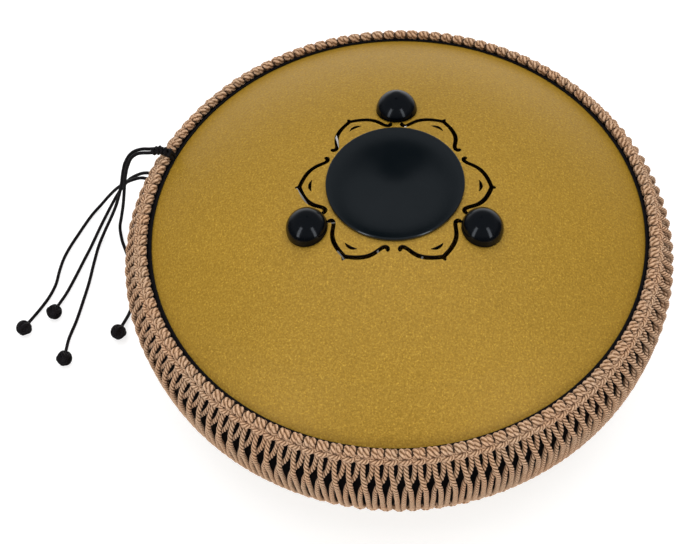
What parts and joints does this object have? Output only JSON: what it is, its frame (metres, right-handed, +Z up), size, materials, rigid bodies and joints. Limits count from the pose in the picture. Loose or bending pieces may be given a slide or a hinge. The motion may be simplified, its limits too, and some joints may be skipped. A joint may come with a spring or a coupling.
{
  "type": "tongue drum",
  "caption": "Round steel tongue drum lying face down: gold domed shells, rope net belt over a black rim band, rubber feet, a plug cover and a cord tie with ball knots.",
  "frame": {"origin": "floor point under the drum's axis, where the flat crown of the playing face rests", "axes": "+Z up along the drum's axis, out of the underside with the feet; -Y towards the camera side of the picture"},
  "size_m": [0.4727, 0.3722, 0.1798],
  "materials": {
    "gold_steel": "fine speckled gold paint, satin",
    "weld_steel": "ground weld",
    "band_rubber": "matt black",
    "cover_rubber": "satin black",
    "foot_rubber": "glossy black",
    "tan_rope": "twisted cotton rope",
    "black_cord": "smooth waxed cord"
  },
  "bodies": {
    "drum": {"foot_shell": "gold_steel", "tongue_shell": "gold_steel", "rim_weld": "weld_steel", "rim_band": "band_rubber", "foot_1": "foot_rubber", "foot_2": "foot_rubber", "foot_3": "foot_rubber", "upper_edge_braid": "tan_rope", "lower_edge_braid": "tan_rope", "rope_net": "tan_rope", "tie_knot_upper": "black_cord", "tie_knot_lower": "black_cord", "tie_strand_1": "black_cord", "tie_strand_2": "black_cord", "tie_strand_3": "black_cord", "tie_strand_4": "black_cord", "end_knot_1": "black_cord", "end_knot_2": "black_cord", "end_knot_3": "black_cord", "end_knot_4": "black_cord"},
    "cover": {"hole_cover": "cover_rubber"}
  },
  "joints": [
    {"name": "cover_pull", "type": "slide", "parent": "drum", "child": "cover", "axis": [0, 0, 1], "range_m": [0, 0.025]}
  ]
}
